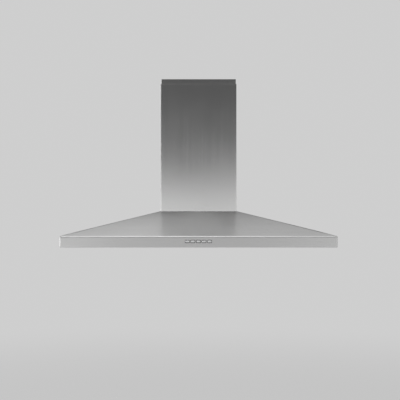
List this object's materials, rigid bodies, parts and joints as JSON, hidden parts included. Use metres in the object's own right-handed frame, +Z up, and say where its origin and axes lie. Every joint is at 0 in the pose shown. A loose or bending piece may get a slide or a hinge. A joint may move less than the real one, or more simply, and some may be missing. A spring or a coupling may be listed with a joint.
{
  "type": "chimney range hood",
  "caption": "Wall-mounted chimney range hood: shallow pyramid canopy with a switch row in its rim, lamps, drop-down grease filters, blower and telescopic chimney.",
  "frame": {"origin": "centre of the four wall holes, on the rear face of the canopy back plate", "axes": "+X to the right as seen from the front, +Y into the wall, so the front faces -Y, +Z up"},
  "size_m": [0.898, 0.5013, 0.5745],
  "materials": {
    "canopy_steel": "brushed stainless steel, grain along the width",
    "chimney_steel": "brushed stainless steel, grain along the height",
    "pan_steel": "brushed stainless steel",
    "galvanised_steel": "galvanised, faint spangle",
    "filter_aluminium": "mill finish",
    "latch_metal": "satin",
    "lamp_trim": "polished",
    "lamp_glass": "frosted",
    "lamp_capsule": "clear",
    "lamp_reflector": "bright",
    "button_caps": "metallised, satin",
    "switch_plastic": "black, fine texture",
    "fan_plastic": "black, moulded",
    "motor_paint": "satin grey",
    "plain_steel": "turned, zinc plated",
    "seal_rubber": "foam",
    "housing_plastic": "light grey, fine texture",
    "transformer_paint": "white, fine texture",
    "capacitor_case": "grey",
    "lead_sheath": "grey sheath"
  },
  "bodies": {
    "root": {"blower_bolts": "plain_steel", "blower_box": "galvanised_steel", "blower_gasket": "seal_rubber", "cable_gland": "housing_plastic", "canopy_back": "galvanised_steel", "canopy_shell": "canopy_steel", "capacitor": "capacitor_case", "chimney_bracket": "galvanised_steel", "chimney_lower": "chimney_steel", "collar_screws": "plain_steel", "control_box": "housing_plastic", "control_box_cover": "housing_plastic", "deck_plate": "galvanised_steel", "filter_hangers": "galvanised_steel", "flap_rod": "plain_steel", "lamp_bezel_left": "lamp_trim", "lamp_bezel_right": "lamp_trim", "lamp_bulb_left": "lamp_capsule", "lamp_bulb_right": "lamp_capsule", "lamp_housing_left": "lamp_reflector", "lamp_housing_right": "lamp_reflector", "lamp_leads": "lead_sheath", "lamp_lens_left": "lamp_glass", "lamp_lens_right": "lamp_glass", "lamp_transformer": "transformer_paint", "motor": "motor_paint", "motor_bracket": "galvanised_steel", "outlet_collar": "fan_plastic", "scroll_left": "fan_plastic", "scroll_right": "fan_plastic", "switch_bezel": "switch_plastic", "switch_body": "switch_plastic", "switch_lead": "lead_sheath", "underside_pan": "pan_steel"},
    "chimney_upper": {"chimney_upper": "chimney_steel"},
    "button_1": {"push_button_1": "button_caps"},
    "button_2": {"push_button_2": "button_caps"},
    "button_3": {"push_button_3": "button_caps"},
    "button_4": {"push_button_4": "button_caps"},
    "button_5": {"push_button_5": "button_caps"},
    "impeller": {"impeller": "fan_plastic", "motor_shaft": "plain_steel"},
    "flap_front": {"damper_flap_front": "fan_plastic"},
    "flap_rear": {"damper_flap_rear": "fan_plastic"},
    "filter_left": {"filter_frame_left": "filter_aluminium", "filter_mesh_left": "filter_aluminium"},
    "latch_left": {"filter_latch_left": "latch_metal"},
    "filter_middle": {"filter_frame_middle": "filter_aluminium", "filter_mesh_middle": "filter_aluminium"},
    "latch_middle": {"filter_latch_middle": "latch_metal"},
    "filter_right": {"filter_frame_right": "filter_aluminium", "filter_mesh_right": "filter_aluminium"},
    "latch_right": {"filter_latch_right": "latch_metal"}
  },
  "joints": [
    {"name": "chimney_slide", "type": "slide", "parent": "root", "child": "chimney_upper", "axis": [0, 0, 1], "range_m": [0, 0.35]},
    {"name": "button_1_push", "type": "slide", "parent": "root", "child": "button_1", "axis": [0, 1, 0], "range_m": [0, 0.002], "stiffness_N_per_m": 500},
    {"name": "button_2_push", "type": "slide", "parent": "root", "child": "button_2", "axis": [0, 1, 0], "range_m": [0, 0.002], "stiffness_N_per_m": 500},
    {"name": "button_3_push", "type": "slide", "parent": "root", "child": "button_3", "axis": [0, 1, 0], "range_m": [0, 0.002], "stiffness_N_per_m": 500},
    {"name": "button_4_push", "type": "slide", "parent": "root", "child": "button_4", "axis": [0, 1, 0], "range_m": [0, 0.002], "stiffness_N_per_m": 500},
    {"name": "button_5_push", "type": "slide", "parent": "root", "child": "button_5", "axis": [0, 1, 0], "range_m": [0, 0.002], "stiffness_N_per_m": 500},
    {"name": "impeller_spin", "type": "hinge", "parent": "root", "child": "impeller", "pos_m": [0, -0.134, 0.1745], "axis": [1, 0, 0], "continuous": true},
    {"name": "flap_front_swing", "type": "hinge", "parent": "root", "child": "flap_front", "pos_m": [0, -0.09936, 0.3065], "axis": [-1, 0, 0], "range_deg": [0, 75]},
    {"name": "flap_rear_swing", "type": "hinge", "parent": "root", "child": "flap_rear", "pos_m": [0, -0.09936, 0.3065], "axis": [1, 0, 0], "range_deg": [0, 75]},
    {"name": "filter_left_drop", "type": "hinge", "parent": "root", "child": "filter_left", "pos_m": [-0.268, -0.0895, -0.0413], "axis": [1, 0, 0], "range_deg": [0, 75]},
    {"name": "latch_left_slide", "type": "slide", "parent": "filter_left", "child": "latch_left", "axis": [0, 1, 0], "range_m": [0, 0.005], "stiffness_N_per_m": 400},
    {"name": "filter_middle_drop", "type": "hinge", "parent": "root", "child": "filter_middle", "pos_m": [0, -0.0895, -0.0413], "axis": [1, 0, 0], "range_deg": [0, 75]},
    {"name": "latch_middle_slide", "type": "slide", "parent": "filter_middle", "child": "latch_middle", "axis": [0, 1, 0], "range_m": [0, 0.005], "stiffness_N_per_m": 400},
    {"name": "filter_right_drop", "type": "hinge", "parent": "root", "child": "filter_right", "pos_m": [0.268, -0.0895, -0.0413], "axis": [1, 0, 0], "range_deg": [0, 75]},
    {"name": "latch_right_slide", "type": "slide", "parent": "filter_right", "child": "latch_right", "axis": [0, 1, 0], "range_m": [0, 0.005], "stiffness_N_per_m": 400}
  ]
}
